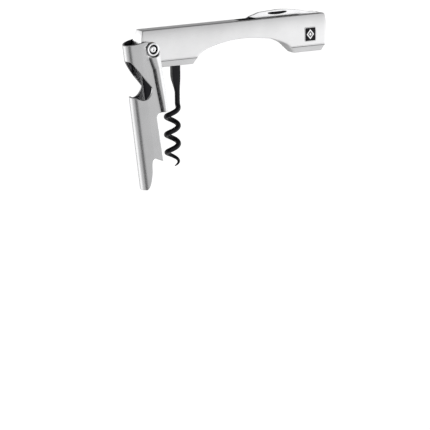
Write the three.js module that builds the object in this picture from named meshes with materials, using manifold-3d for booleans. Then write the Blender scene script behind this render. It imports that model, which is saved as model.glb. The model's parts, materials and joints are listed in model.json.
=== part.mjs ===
// Folding lever corkscrew: a solid steel handle, a two-step lever with a crown-cap opener,
// a coated worm and a foil-cutter blade, each on its own pivot.
//
// Millimetres, +Z up. x runs along the handle, y across it (the front side is -y).
// All pieces are drawn with the lever's pivot at (0, 0, 0); the finished group is then moved
// so that the origin lies in the middle of the grip.

import * as THREE from 'three';
import { mergeVertices } from 'three/addons/utils/BufferGeometryUtils.js';
import Module from 'manifold-3d';

const wasm = await Module();
wasm.setup();

// ---------------------------------------------------------------- driving dimensions

// Layout: where the three pivots and the grip are, seen from the side (x, z).
const GRIP = [52, 5];
const WORM_PIVOT = [17.4, -7];
const BLADE_PIVOT = [104.6, 5.2];
const LEVER_LEAN = -7;       // degrees about +y: the lever's tip leans towards the worm

// Handle
const HANDLE_TOP = 10;
const FRONT_BOTTOM = -11;
const REAR_BOTTOM = -10.8;
const HANDLE_HALF = 5.2;     // half the width at the widest height
const TOP_HALF = 3.6;
const BOTTOM_HALF = 3;
const FACET_Z = -7.5;        // the lower facets start here
const FACET_HALF = 5;
const BLIND_Y = -3.9;        // pin bores are drilled from the rear and stop short of the front side

// Lever, in its own frame: u is the distance in front of the pivot (towards -x), v downwards
const WEB_OUTER = 13.7;
const BEND_R = 6.4;          // outer radius of the bends between the web and the flanges
const SHEET = 1.25;          // thickness of the web and of the flanges
const CHANNEL_HALF = 5.55;   // half the clear width between the flanges
const FLANGE_OUTER = CHANNEL_HALF + SHEET;
const RIB_OUTER = 7.3;       // the rib along the flanges' rear edge stands proud to here
const BOSS_RADIUS = 4.1;
const RIB_EDGE = -4.7;       // the flanges' rear edge at the first step
const STEP_V = 35.3;         // first step, the ledge that sits on the bottle's rim
const LEVER_TOP = -5;
const LEVER_BOTTOM = 76.2;

// Lever pivot
const PIVOT_PIN_R = 1.55;
const PIVOT_HEAD_R = 2.1;
const PIVOT_RECESS_R = 2.95;
const PIVOT_RECESS_Y = 6.35;
const BUSH_R = 2.25;
const WASHER_R = 3.6;
const WASHER_INNER_Y = 4.9;
const WASHER_THICK = 0.4;

// Worm, in its own frame: the pivot at the origin, the tip towards -z
const SHANK_HALF = 2.4;
const SHANK_THICK = 2.9;
const SHANK_PARALLEL = 9.5;  // the flat shank keeps its width down to here
const SHANK_TAPER = 20;      // and has become round wire by here
const WIRE_R = 1.4;
const WIRE_X = 1.1;
const HELIX_X = -2.2;
const HELIX_R = 3.25;
const HELIX_START = 24.9;
const HELIX_PITCH = 9.8;
const HELIX_ONSET = 3;       // length over which the wire leans into the helix
const WORM_LENGTH = 58.5;
const POINT_LENGTH = 8;
const WORM_SLOT_HALF = 1.8;

// Foil blade
const BLADE_THICK = 1.6;
const BLADE_SLOT_HALF = 1.1;    // beside the tang and the spring
const BLADE_BAY_HALF = 2.2;     // beside the blade itself
const TANG_R = 5.3;

// Pins and springs
const GAP = 0.15;            // clearance round every pin and beside every loose piece
const SMALL_PIN_R = 0.8;
const PIVOT_PIN_SMALL_R = 1.35;
const WORM_SPRING = { eye: [27, -2.3], tip: 11, z: -2.6, thick: 1, half: 1.6 };
const BLADE_SPRING = { eye: [88, -0.7], tip: 107, z: -0.45, thick: 1.5, half: 0.9 };

// Badge: a plain inlaid plate near the rear end of the front side
const BADGE = { x: 99.5, z: -0.95, width: 6.7, height: 7.3, inner: 4.6, outer: 5.2 };

const ROUND = 24;            // sides of a full circle

// ---------------------------------------------------------------- materials

const brushed = new THREE.MeshStandardMaterial({ color: 0xc4c4c6, roughness: 0.38, metalness: 1 });
const satin = new THREE.MeshStandardMaterial({ color: 0xd0d0d2, roughness: 0.28, metalness: 1 });
const coated = new THREE.MeshStandardMaterial({ color: 0x17181b, roughness: 0.42, metalness: 0.1 });
const spring = new THREE.MeshStandardMaterial({ color: 0x8f9196, roughness: 0.35, metalness: 1 });
const bronze = new THREE.MeshStandardMaterial({ color: 0xa8763e, roughness: 0.4, metalness: 1 });
const enamel = new THREE.MeshStandardMaterial({ color: 0x15161a, roughness: 0.35, metalness: 0.2 });

// ---------------------------------------------------------------- solids

function toSolid(geometry) {
  const bare = geometry.clone();
  bare.deleteAttribute('normal');
  bare.deleteAttribute('uv');
  const merged = mergeVertices(bare, 1e-5);
  const vertProperties = new Float32Array(merged.attributes.position.array);
  const triVerts = new Uint32Array(merged.index.array);
  return new wasm.Manifold(new wasm.Mesh({ numProp: 3, vertProperties, triVerts }));
}

function toMesh(name, material, solid) {
  const { numProp, vertProperties, triVerts } = solid.getMesh();
  const position = new Float32Array(vertProperties.length / numProp * 3);
  for (let i = 0; i < position.length / 3; i += 1) {
    for (let axis = 0; axis < 3; axis += 1) {
      position[3 * i + axis] = vertProperties[numProp * i + axis];
    }
  }
  const geometry = new THREE.BufferGeometry();
  geometry.setAttribute('position', new THREE.BufferAttribute(position, 3));
  geometry.setIndex(new THREE.BufferAttribute(new Uint32Array(triVerts), 1));
  geometry.computeVertexNormals();
  const mesh = new THREE.Mesh(geometry, material);
  mesh.name = name;
  return mesh;
}

function extrude(shape, depth, segments) {
  return new THREE.ExtrudeGeometry(shape, { depth, bevelEnabled: false, curveSegments: segments });
}

// A side outline (x, z) made solid from y0 to y1.
function prismY(shape, y0, y1, segments = 4) {
  const geometry = extrude(shape, y1 - y0, segments);
  geometry.rotateX(Math.PI / 2);
  geometry.translate(0, y1, 0);
  return toSolid(geometry);
}

// A cross-section (y, z) made solid from x0 to x1.
function prismX(shape, x0, x1, segments = 6) {
  const geometry = extrude(shape, x1 - x0, segments);
  const across = new THREE.Vector3(0, 1, 0);
  const up = new THREE.Vector3(0, 0, 1);
  const along = new THREE.Vector3(1, 0, 0);
  geometry.applyMatrix4(new THREE.Matrix4().makeBasis(across, up, along));
  geometry.translate(x0, 0, 0);
  return toSolid(geometry);
}

// A plan (x, y) made solid from z0 to z1.
function prismZ(shape, z0, z1, segments = 5) {
  const geometry = extrude(shape, z1 - z0, segments);
  geometry.translate(0, 0, z0);
  return toSolid(geometry);
}

// A solid of revolution about the y axis through (x, z); the profile is [radius, y] pairs.
function turned([x, z], profile) {
  const points = profile.map(([radius, y]) => new THREE.Vector2(radius, y));
  const geometry = new THREE.LatheGeometry(points, ROUND);
  geometry.translate(x, 0, z);
  return toSolid(geometry);
}

function cylinder(centre, radius, y0, y1) {
  return turned(centre, [[0, y0], [radius, y0], [radius, y1], [0, y1]]);
}

function ring(centre, inner, outer, y0, y1) {
  return turned(centre, [[inner, y0], [outer, y0], [outer, y1], [inner, y1], [inner, y0]]);
}

function polygon(points) {
  return new THREE.Shape(points.map(([x, y]) => new THREE.Vector2(x, y)));
}

// A round bar of changing radius along a curve, closed at both ends.
function sweptBar(curve, radiusAt, steps, sides) {
  const frames = curve.computeFrenetFrames(steps, false);
  const position = [];
  const index = [];
  for (let i = 0; i <= steps; i += 1) {
    const centre = curve.getPointAt(i / steps);
    const radius = radiusAt(i / steps);
    for (let j = 0; j < sides; j += 1) {
      const angle = 2 * Math.PI * j / sides;
      const point = centre.clone()
        .addScaledVector(frames.normals[i], radius * Math.cos(angle))
        .addScaledVector(frames.binormals[i], radius * Math.sin(angle));
      position.push(point.x, point.y, point.z);
    }
  }
  for (let i = 0; i < steps; i += 1) {
    for (let j = 0; j < sides; j += 1) {
      const a = i * sides + j;
      const b = i * sides + (j + 1) % sides;
      index.push(a, b, b + sides, a, b + sides, a + sides);
    }
  }
  const last = steps * sides;
  for (let j = 1; j < sides - 1; j += 1) {
    index.push(0, j + 1, j, last, last + j, last + j + 1);
  }
  const geometry = new THREE.BufferGeometry();
  geometry.setAttribute('position', new THREE.Float32BufferAttribute(position, 3));
  geometry.setIndex(index);
  return toSolid(geometry);
}

// ---------------------------------------------------------------- handle

function handleOutline() {
  const belly = [
    [30.5, -5.8], [34.6, -3.4], [40, -1.8], [45, -0.75], [50, 0], [55, 0.35], [60, 0.4], [64.6, 0.1],
    [69, -0.45], [74.4, -1.2], [79.4, -2.8], [84, -4.8], [86.4, -6.6], [88.3, -8.6],
  ];
  const shape = new THREE.Shape();
  shape.moveTo(-4.3, HANDLE_TOP);
  shape.lineTo(-5.9, 4);
  shape.lineTo(-6.2, -1);
  shape.quadraticCurveTo(-6, FRONT_BOTTOM + 0.4, 1.5, FRONT_BOTTOM);
  shape.lineTo(27.1, FRONT_BOTTOM);
  shape.lineTo(28.2, -8.3);
  shape.splineThru(belly.map(([x, z]) => new THREE.Vector2(x, z)));
  shape.lineTo(90.2, REAR_BOTTOM);
  shape.lineTo(107.4, REAR_BOTTOM);
  shape.quadraticCurveTo(108.2, REAR_BOTTOM, 108.6, -8.6);
  shape.splineThru([[109.6, -6.2], [110.4, -3], [110.7, 0.3], [110.6, 4.3], [110.2, 6.8]].map(
    ([x, z]) => new THREE.Vector2(x, z),
  ));
  shape.quadraticCurveTo(109.6, HANDLE_TOP, 107.4, HANDLE_TOP);
  shape.closePath();
  return shape;
}

function handleSection() {
  const swell = 2 * HANDLE_HALF - (TOP_HALF + FACET_HALF) / 2;
  const shape = new THREE.Shape();
  shape.moveTo(-BOTTOM_HALF, FRONT_BOTTOM - 1);
  shape.lineTo(BOTTOM_HALF, FRONT_BOTTOM - 1);
  shape.lineTo(BOTTOM_HALF, FRONT_BOTTOM);
  shape.lineTo(FACET_HALF, FACET_Z);
  shape.quadraticCurveTo(swell, 1, TOP_HALF, HANDLE_TOP - 0.4);
  shape.lineTo(TOP_HALF - 0.5, HANDLE_TOP);
  shape.lineTo(0.5 - TOP_HALF, HANDLE_TOP);
  shape.lineTo(-TOP_HALF, HANDLE_TOP - 0.4);
  shape.quadraticCurveTo(-swell, 1, -FACET_HALF, FACET_Z);
  shape.lineTo(-BOTTOM_HALF, FRONT_BOTTOM);
  shape.closePath();
  return shape;
}

// The slot that the worm's shank swings in, open below and towards the middle of the handle.
// Its roof falls away to the front, where the shank swings while the cork is drawn.
function wormSlot() {
  const [x, z] = WORM_PIVOT;
  const below = FRONT_BOTTOM - 1;
  const spring = WORM_SPRING;
  const roof = spring.z + spring.thick + 1;
  return polygon([
    [x - 17.5, below], [x - 2.6, z + 3.2], [spring.tip - 0.5, z + 3.2], [spring.tip - 0.5, roof],
    [spring.eye[0] + 1.9, roof], [spring.eye[0] + 1.9, z + 3.4], [38, z + 3.4], [38, below],
  ]);
}

// The slot that the blade folds into, open above and at the rear end, with the spring's
// pocket in its floor.
function bladeSlot() {
  const spring = BLADE_SPRING;
  const pocket = spring.z - spring.thick - 0.5;
  const pocketStart = spring.eye[0] - 1.9;
  const above = HANDLE_TOP + 1;
  return polygon([
    [56, above], [56, 9.2], [58.5, 5.8], [64.5, 3.4], [pocketStart, 2.8],
    [pocketStart, pocket], [113, pocket], [113, above],
  ]);
}

// The wider top of that slot, beside the blade.
function bladeBay() {
  const above = HANDLE_TOP + 1;
  return polygon([[56, above], [56, 9.2], [58.5, 6.6], [64.5, 5.6], [94.3, 5.6], [94.3, above]]);
}

function badgeOutline(grow) {
  const { x, z, width, height } = BADGE;
  const w = width / 2 + grow;
  const h = height / 2 + grow;
  const r = 0.7 + grow;
  const shape = new THREE.Shape();
  shape.absarc(x + w - r, z + h - r, r, 0, Math.PI / 2);
  shape.absarc(x - w + r, z + h - r, r, Math.PI / 2, Math.PI);
  shape.absarc(x - w + r, z - h + r, r, Math.PI, 1.5 * Math.PI);
  shape.absarc(x + w - r, z - h + r, r, 1.5 * Math.PI, 2 * Math.PI);
  return shape;
}

function makeHandleBody() {
  const rearSide = HANDLE_HALF + 1;
  const spotFace = WASHER_INNER_Y - GAP;
  const blindBores = [
    [WORM_PIVOT, PIVOT_PIN_SMALL_R], [WORM_SPRING.eye, SMALL_PIN_R],
    [BLADE_PIVOT, PIVOT_PIN_SMALL_R], [BLADE_SPRING.eye, SMALL_PIN_R],
  ];
  let body = prismY(handleOutline(), -rearSide, rearSide).intersect(prismX(handleSection(), -10, 120));
  body = body.subtract(prismY(wormSlot(), -WORM_SLOT_HALF, WORM_SLOT_HALF));
  body = body.subtract(prismY(bladeSlot(), -BLADE_SLOT_HALF, BLADE_SLOT_HALF));
  body = body.subtract(prismY(bladeBay(), -BLADE_BAY_HALF, BLADE_BAY_HALF));
  body = body.subtract(prismY(badgeOutline(GAP), -rearSide, -BADGE.inner + GAP));
  body = body.subtract(cylinder([0, 0], BUSH_R + GAP, -rearSide, rearSide));
  for (const side of [-1, 1]) {
    const from = Math.min(side * spotFace, side * rearSide);
    const to = Math.max(side * spotFace, side * rearSide);
    body = body.subtract(cylinder([0, 0], WASHER_R + GAP, from, to));
  }
  for (const [centre, radius] of blindBores) {
    body = body.subtract(cylinder(centre, radius + GAP, BLIND_Y, rearSide));
  }
  return toMesh('handle_body', brushed, body);
}

function makeBadge() {
  return toMesh('badge_plate', enamel, prismY(badgeOutline(0), -BADGE.outer, -BADGE.inner));
}

// ---------------------------------------------------------------- pins, bush and washers

function makePin(name, centre, radius, rearY) {
  return toMesh(name, satin, cylinder(centre, radius, BLIND_Y + GAP, rearY));
}

// A riveted pin: two low round heads, each with a dimple, joined by the shaft.
function makeLeverPivotPin() {
  const head = PIVOT_RECESS_Y + GAP;
  const end = RIB_OUTER - 0.1;
  const dimple = 0.8;
  const profile = [
    [0, -end + 0.5], [dimple, -end + 0.3], [dimple + 0.2, -end], [PIVOT_HEAD_R - 0.3, -end],
    [PIVOT_HEAD_R, -end + 0.25], [PIVOT_HEAD_R, -head], [PIVOT_PIN_R, -head],
  ];
  const mirrored = profile.map(([radius, y]) => [radius, -y]).reverse();
  return toMesh('lever_pivot_pin', satin, turned([0, 0], [...profile, ...mirrored]));
}

function makeLeverPivotBush() {
  const half = WASHER_INNER_Y - GAP;
  return toMesh('lever_pivot_bush', bronze, ring([0, 0], PIVOT_PIN_R + GAP, BUSH_R, -half, half));
}

function makeWasher(name, side) {
  const near = side * WASHER_INNER_Y;
  const far = side * (WASHER_INNER_Y + WASHER_THICK);
  const solid = ring([0, 0], PIVOT_PIN_R + GAP, WASHER_R, Math.min(near, far), Math.max(near, far));
  return toMesh(name, bronze, solid);
}

// ---------------------------------------------------------------- springs

// A leaf spring with an eye round its pin at one end; tipX is where the leaf ends.
function makeSpring(name, { eye, tip, z, thick, half }) {
  const eyeR = SMALL_PIN_R + GAP + 0.6;
  const from = Math.min(eye[0], tip);
  const to = Math.max(eye[0], tip);
  const leaf = polygon([[from, z - thick], [to, z - thick], [to, z], [from, z]]);
  const blank = prismY(leaf, -half, half).add(cylinder(eye, eyeR, -half, half));
  const bore = cylinder(eye, SMALL_PIN_R + GAP, -half - 1, half + 1);
  return toMesh(name, spring, blank.subtract(bore));
}

// ---------------------------------------------------------------- lever

// Points given as (u, v) turned into the lever's own (x, z).
function leverPoints(points) {
  return points.map(([u, v]) => new THREE.Vector2(-u, -v));
}

function leverOutline() {
  const shape = new THREE.Shape();
  shape.moveTo(-WEB_OUTER, -LEVER_TOP);
  shape.lineTo(-WEB_OUTER, -LEVER_BOTTOM);
  shape.lineTo(-12.4, -LEVER_BOTTOM);
  shape.splineThru(leverPoints([[11.1, 74.4], [10.1, 71.7], [9, 67.1], [8.5, 62.4], [7.9, 60.2]]));
  shape.quadraticCurveTo(-7.6, -59, -6.4, -59.4);      // the second step: a hook under the rim
  shape.lineTo(-2.6, -61.4);
  shape.quadraticCurveTo(-1.8, -61.7, -1.8, -60.8);
  shape.lineTo(-2.5, -STEP_V - 1.5);
  shape.quadraticCurveTo(-2.5, -STEP_V, -1.1, -STEP_V);
  shape.lineTo(-RIB_EDGE, -STEP_V);
  shape.splineThru(leverPoints(REAR_EDGE));
  shape.absarc(0, 0, BOSS_RADIUS, 0, Math.PI / 2);
  shape.lineTo(-3.3, -LEVER_TOP);
  shape.closePath();
  return shape;
}

// The flanges' rear edge, from the first step up to the boss.
const REAR_EDGE = [[-4.75, 26], [-4.55, 17.7], [-4.2, 10], [-BOSS_RADIUS, 3], [-BOSS_RADIUS, 0]];

// The crown-cap opener: a hooked bay cut through the web and both flanges.
function openerOutline() {
  const shape = new THREE.Shape();
  shape.moveTo(-16, -5);
  shape.lineTo(-12.9, -5.1);
  shape.splineThru(leverPoints([
    [11.9, 6.6], [9.5, 10.7], [6.5, 15.6], [4.3, 19], [3.2, 21], [3.8, 23.2], [5.1, 25],
    [6.9, 26.2], [9.2, 26.4], [11.1, 25.7],
  ]));
  shape.lineTo(-12.5, -24.9);
  shape.lineTo(-16, -24.6);
  shape.closePath();
  return shape;
}

function ribOutline() {
  const shape = new THREE.Shape();
  shape.moveTo(-RIB_EDGE, -STEP_V);
  shape.splineThru(leverPoints(REAR_EDGE));
  shape.absarc(0, 0, BOSS_RADIUS, 0, 1.5 * Math.PI - 0.5);
  shape.splineThru(leverPoints([[1.3, 10.6], [0.7, 20.4], [0.1, 28.3], [-0.4, STEP_V]]));
  shape.closePath();
  return shape;
}

// Plan of the channel: a web, two flanges and the round bends between them.
function channelPlan(half, webFace, bend) {
  const open = BOSS_RADIUS + 2;
  const shape = new THREE.Shape();
  shape.moveTo(open, -half);
  shape.lineTo(open, half);
  shape.absarc(-webFace + bend, half - bend, bend, Math.PI / 2, Math.PI);
  shape.absarc(-webFace + bend, bend - half, bend, Math.PI, 1.5 * Math.PI);
  shape.closePath();
  return shape;
}

function makeLeverArm() {
  const top = -LEVER_TOP + 2;
  const bottom = -LEVER_BOTTOM - 2;
  const outside = RIB_OUTER + 1;
  const flangeBore = PIVOT_PIN_R + GAP;
  let arm = prismZ(channelPlan(FLANGE_OUTER, WEB_OUTER, BEND_R), bottom, top);
  arm = arm.intersect(prismY(leverOutline(), -outside, outside));
  for (const [from, to] of [[-RIB_OUTER, -FLANGE_OUTER + 0.2], [FLANGE_OUTER - 0.2, RIB_OUTER]]) {
    arm = arm.add(prismY(ribOutline(), from, to));
  }
  const inside = channelPlan(CHANNEL_HALF, WEB_OUTER - SHEET, BEND_R - SHEET);
  arm = arm.subtract(prismZ(inside, bottom - 1, top + 1));
  arm = arm.subtract(prismY(openerOutline(), -outside, outside));
  arm = arm.subtract(cylinder([0, 0], flangeBore, -outside, outside));
  arm = arm.subtract(cylinder([0, 0], PIVOT_RECESS_R, -outside, -PIVOT_RECESS_Y));
  arm = arm.subtract(cylinder([0, 0], PIVOT_RECESS_R, PIVOT_RECESS_Y, outside));
  return toMesh('lever_arm', brushed, arm);
}

// ---------------------------------------------------------------- worm

// Centre line of the wire: straight down, then a right-handed helix that widens from the
// wire's own line to the full radius within its onset.
class WormCurve extends THREE.Curve {
  getPoint(t, target = new THREE.Vector3()) {
    const start = SHANK_TAPER - 4;
    const depth = start + t * (WORM_LENGTH - start);
    const below = Math.max(0, depth - HELIX_START);
    const turned = below < HELIX_ONSET ? below * below / (2 * HELIX_ONSET) : below - HELIX_ONSET / 2;
    const angle = 2 * Math.PI * turned / HELIX_PITCH;
    const widening = Math.min(1, below / HELIX_ONSET);
    const radius = WIRE_X - HELIX_X + (HELIX_R - WIRE_X + HELIX_X) * widening;
    return target.set(HELIX_X + radius * Math.cos(angle), -radius * Math.sin(angle), -depth);
  }
}

function shankOutline() {
  const shape = new THREE.Shape();
  const left = WIRE_X - WIRE_R;
  shape.absarc(0, 0, SHANK_HALF, 0, Math.PI);
  shape.lineTo(-SHANK_HALF, -SHANK_PARALLEL);
  shape.bezierCurveTo(-SHANK_HALF + 0.4, -13, left - 0.4, -15, left + 0.25, -SHANK_TAPER);
  shape.lineTo(WIRE_X + WIRE_R - 0.35, -SHANK_TAPER);
  shape.lineTo(SHANK_HALF, -SHANK_PARALLEL);
  shape.closePath();
  return shape;
}

function makeWorm() {
  const steps = 96;
  const sides = 10;
  const curve = new WormCurve();
  const length = curve.getLength();
  const radiusAt = (t) => {
    const toTip = (1 - t) * length;
    return toTip > POINT_LENGTH ? WIRE_R : WIRE_R * (0.12 + 0.88 * Math.sqrt(toTip / POINT_LENGTH));
  };
  let worm = prismY(shankOutline(), -SHANK_THICK / 2, SHANK_THICK / 2);
  worm = worm.add(sweptBar(curve, radiusAt, steps, sides));
  worm = worm.subtract(cylinder([0, 0], PIVOT_PIN_SMALL_R + GAP, -SHANK_THICK, SHANK_THICK));
  return toMesh('worm', coated, worm);
}

// ---------------------------------------------------------------- foil blade

// Drawn closed, round its own pivot: the back of the blade above, the cutting edge below.
function bladeOutline() {
  const spine = [
    [-40.2, 6.4], [-37.9, 7], [-35.1, 7.8], [-31.7, 8.1], [-27.6, 8.3], [-24.1, 8.5], [-19.9, 8.4],
    [-15.6, 8], [-10.2, 7.2], [-6, 6.4], [-3, 5.8],
  ];
  const shape = new THREE.Shape();
  shape.moveTo(-43, 5.4);
  shape.splineThru(spine.map(([x, z]) => new THREE.Vector2(x, z)));
  shape.lineTo(0, TANG_R);
  shape.absarc(0, 0, TANG_R, Math.PI / 2, -0.85 * Math.PI, true);
  shape.lineTo(-6.6, 0.4);
  shape.lineTo(-9.4, 0.9);
  shape.lineTo(-10.5, -0.6);
  shape.quadraticCurveTo(-31, -1, -43, 5.4);
  return shape;
}

function makeFoilBlade() {
  const half = BLADE_THICK / 2;
  const nick = new THREE.Shape();
  nick.moveTo(-29.7, 7);
  nick.quadraticCurveTo(-23.5, 5.3, -17.3, 7);
  nick.quadraticCurveTo(-23.5, 8.3, -29.7, 7);
  let blade = prismY(bladeOutline(), -half, half);
  blade = blade.subtract(prismY(nick, -half - 1, -half + 0.45));
  blade = blade.subtract(cylinder([0, 0], PIVOT_PIN_SMALL_R + GAP, -half - 1, half + 1));
  return toMesh('foil_blade', satin, blade);
}

// ---------------------------------------------------------------- assembly

function placed(group, [x, z], degreesAboutY) {
  group.position.set(x, 0, z);
  group.rotation.y = THREE.MathUtils.degToRad(degreesAboutY);
  return group;
}

const handle = new THREE.Group();
handle.add(
  makeHandleBody(),
  makeBadge(),
  makeLeverPivotBush(),
  makeWasher('lever_washer_front', -1),
  makeWasher('lever_washer_rear', 1),
  makePin('worm_pivot_pin', WORM_PIVOT, PIVOT_PIN_SMALL_R, FACET_HALF - 0.1),
  makePin('worm_spring_pin', WORM_SPRING.eye, SMALL_PIN_R, HANDLE_HALF - 0.2),
  makePin('blade_pivot_pin', BLADE_PIVOT, PIVOT_PIN_SMALL_R, HANDLE_HALF - 0.7),
  makePin('blade_spring_pin', BLADE_SPRING.eye, SMALL_PIN_R, HANDLE_HALF - 0.15),
  makeSpring('worm_spring', WORM_SPRING),
  makeSpring('blade_spring', BLADE_SPRING),
);

const lever = placed(new THREE.Group(), [0, 0], LEVER_LEAN);
lever.add(makeLeverArm(), makeLeverPivotPin());

const worm = placed(new THREE.Group(), WORM_PIVOT, 0);
worm.add(makeWorm());

const blade = placed(new THREE.Group(), BLADE_PIVOT, 0);
blade.add(makeFoilBlade());

const corkscrew = new THREE.Group();
corkscrew.add(handle, lever, worm, blade);
corkscrew.position.set(-GRIP[0], 0, -GRIP[1]);

export default corkscrew;
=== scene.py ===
"""Folding lever corkscrew: fine meshes, materials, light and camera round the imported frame.

Shapes are drawn in millimetres in the frame of the pivot that they turn on, with x along the
handle, y across it (the front side is -y) and z up, and are then placed in metres.
"""

import json
import math

import bmesh
import bpy
from mathutils import Matrix, Quaternion, Vector

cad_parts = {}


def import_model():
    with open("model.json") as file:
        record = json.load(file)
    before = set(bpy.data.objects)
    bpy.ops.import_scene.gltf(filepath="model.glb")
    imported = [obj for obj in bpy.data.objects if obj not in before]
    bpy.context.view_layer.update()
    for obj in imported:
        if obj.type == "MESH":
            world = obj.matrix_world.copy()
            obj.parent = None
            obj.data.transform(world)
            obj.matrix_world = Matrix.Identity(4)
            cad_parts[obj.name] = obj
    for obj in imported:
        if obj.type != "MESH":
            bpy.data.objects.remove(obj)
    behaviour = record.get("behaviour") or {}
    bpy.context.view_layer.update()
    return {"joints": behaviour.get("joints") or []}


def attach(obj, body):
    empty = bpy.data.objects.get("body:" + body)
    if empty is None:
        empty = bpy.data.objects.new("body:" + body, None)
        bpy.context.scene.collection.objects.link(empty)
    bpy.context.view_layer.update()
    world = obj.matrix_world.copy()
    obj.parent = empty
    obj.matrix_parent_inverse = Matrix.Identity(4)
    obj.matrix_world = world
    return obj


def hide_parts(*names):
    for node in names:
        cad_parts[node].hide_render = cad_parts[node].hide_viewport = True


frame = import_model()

MM = 0.001
LEVER_LEAN = -7.0


def place(joint, lean=0.0):
    """From millimetres round a joint's pivot to metres in the frame."""
    pivot = next(Vector(j["pos_m"]) for j in frame["joints"] if j["name"] == joint)
    turn = Matrix.Rotation(math.radians(lean), 4, "Y")
    return Matrix.Translation(pivot) @ turn @ Matrix.Scale(MM, 4)


def direction(azimuth, elevation):
    """Unit vector to a place round the object, in degrees: azimuth 0 is in front of it."""
    a, e = math.radians(azimuth), math.radians(elevation)
    return Vector((math.sin(a) * math.cos(e), -math.cos(a) * math.cos(e), math.sin(e)))


HANDLE = place("lever_fold")
LEVER = place("lever_fold", LEVER_LEAN)
WORM = place("worm_fold")
BLADE = place("blade_fold")


# ---------------------------------------------------------------- outlines


def lerp(a, b, t):
    return a + (b - a) * t


def smoothstep(low, high, value):
    t = min(1.0, max(0.0, (value - low) / (high - low)))
    return t * t * (3.0 - 2.0 * t)


def spline(points, steps=8):
    """Catmull-Rom curve through the points."""
    if len(points) == 2:
        return list(points)
    ends = [points[0]] + list(points) + [points[-1]]
    curve = []
    for a, b, c, d in zip(ends, ends[1:], ends[2:], ends[3:]):
        for step in range(steps):
            t = step / steps
            curve.append(tuple(
                0.5 * (2 * q + (r - p) * t + (2 * p - 5 * q + 4 * r - s) * t ** 2
                       + (3 * q - p - 3 * r + s) * t ** 3)
                for p, q, r, s in zip(a, b, c, d)
            ))
    return curve + [points[-1]]


def trimmed(run, length):
    """The run without its first stretch of that length."""
    run = [Vector(p) for p in run]
    while len(run) > 2 and (run[1] - run[0]).length <= length:
        length -= (run[1] - run[0]).length
        run.pop(0)
    run[0] = run[0] + (run[1] - run[0]).normalized() * length
    return [tuple(p) for p in run]


def outline(points, steps=5):
    """Closed outline. (x, z) is passed smoothly; (x, z, r) is a corner rounded over a length r."""
    first = next(i for i, p in enumerate(points) if len(p) == 3)
    points = points[first:] + points[:first + 1]
    corners = [i for i, p in enumerate(points) if len(p) == 3]
    runs = []
    for a, b in zip(corners, corners[1:]):
        run = spline([p[:2] for p in points[a:b + 1]])
        run = trimmed(run, points[a][2])
        runs.append(trimmed(run[::-1], points[b][2])[::-1])
    loop = []
    for index, run in enumerate(runs):
        corner = Vector(points[corners[index + 1]][:2])
        after = Vector(runs[(index + 1) % len(runs)][0])
        before = Vector(run[-1])
        loop += run
        if (after - before).length > 1e-6:
            for step in range(1, steps):
                t = step / steps
                bend = before * (1 - t) ** 2 + corner * 2 * t * (1 - t) + after * t ** 2
                loop.append(tuple(bend))
    return clean_loop(loop)


def clean_loop(loop, least=1e-3):
    """The loop without repeated points."""
    kept = []
    for point in loop:
        if not kept or (Vector(point) - Vector(kept[-1])).length > least:
            kept.append(point)
    if (Vector(kept[0]) - Vector(kept[-1])).length <= least:
        kept.pop()
    return kept


def area_of(loop):
    return 0.5 * sum(a[0] * b[1] - b[0] * a[1] for a, b in zip(loop, loop[1:] + loop[:1]))


def circle(x, z, radius, sides=48):
    turn = 2 * math.pi / sides
    return [(x + radius * math.cos(i * turn), z + radius * math.sin(i * turn)) for i in range(sides)]


# ---------------------------------------------------------------- meshes


def plate(outer, holes=(), half=1.0, edge=0.2, steps=3):
    """Flat plate in x and y, from z = -half to half, with every edge rounded over edge."""
    bm = bmesh.new()
    loops = [outer if area_of(outer) > 0 else outer[::-1]]
    loops += [hole if area_of(hole) < 0 else hole[::-1] for hole in holes]
    turns = [math.pi / 2 * k / steps for k in range(steps + 1)]
    levels = [(-half + edge - edge * math.sin(a), edge * (1 - math.cos(a))) for a in turns[::-1]]
    levels += [(half - edge + edge * math.sin(a), edge * (1 - math.cos(a))) for a in turns]
    caps = {0: [], len(levels) - 1: []}
    for loop in loops:
        inward = inward_normals(loop)
        rings = []
        for z, inset in levels:
            ring = [
                bm.verts.new((x + n[0] * inset, y + n[1] * inset, z))
                for (x, y), n in zip(loop, inward)
            ]
            rings.append(ring)
        join_rings(bm, rings)
        for level in caps:
            caps[level].append(rings[level])
    for level, rings in caps.items():
        fill(bm, rings, up=level > 0)
    return bm


def inward_normals(loop):
    """At each point, the direction into the plate, long enough to inset by one."""
    normals = []
    for before, point, after in zip(loop[-1:] + loop[:-1], loop, loop[1:] + loop[:1]):
        a = (Vector(point) - Vector(before)).normalized()
        b = (Vector(after) - Vector(point)).normalized()
        left = Vector((-a.y, a.x)) + Vector((-b.y, b.x))
        normals.append(left / max(0.5, 0.5 * left.length_squared))
    return normals


def join_rings(bm, rings):
    for low, high in zip(rings, rings[1:]):
        for i in range(len(low)):
            j = (i + 1) % len(low)
            bm.faces.new((low[i], low[j], high[j], high[i]))


def fill(bm, rings, up):
    """Closes the plate's face inside the first ring and outside the others."""
    if len(rings) == 1:
        bm.faces.new(rings[0] if up else rings[0][::-1])
        return
    edges = []
    for ring in rings:
        for a, b in zip(ring, ring[1:] + ring[:1]):
            edges.append(bm.edges.get((a, b)))
    side = Vector((0, 0, 1 if up else -1))
    bmesh.ops.triangle_fill(bm, edges=edges, normal=side, use_beauty=True)


def stand_up(bm):
    """Turns a plate drawn in x and y into the side view, x and z."""
    bm.transform(Matrix.Rotation(math.pi / 2, 4, "X"))
    return bm


def sliced(bm, axis, values):
    """Cuts the faces along planes, so that the mesh can be bent between them."""
    normal = Vector([1.0 if i == axis else 0.0 for i in range(3)])
    for value in values:
        geometry = bm.verts[:] + bm.edges[:] + bm.faces[:]
        bmesh.ops.bisect_plane(bm, geom=geometry, dist=1e-4, plane_co=normal * value, plane_no=normal)
    return bm


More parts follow.
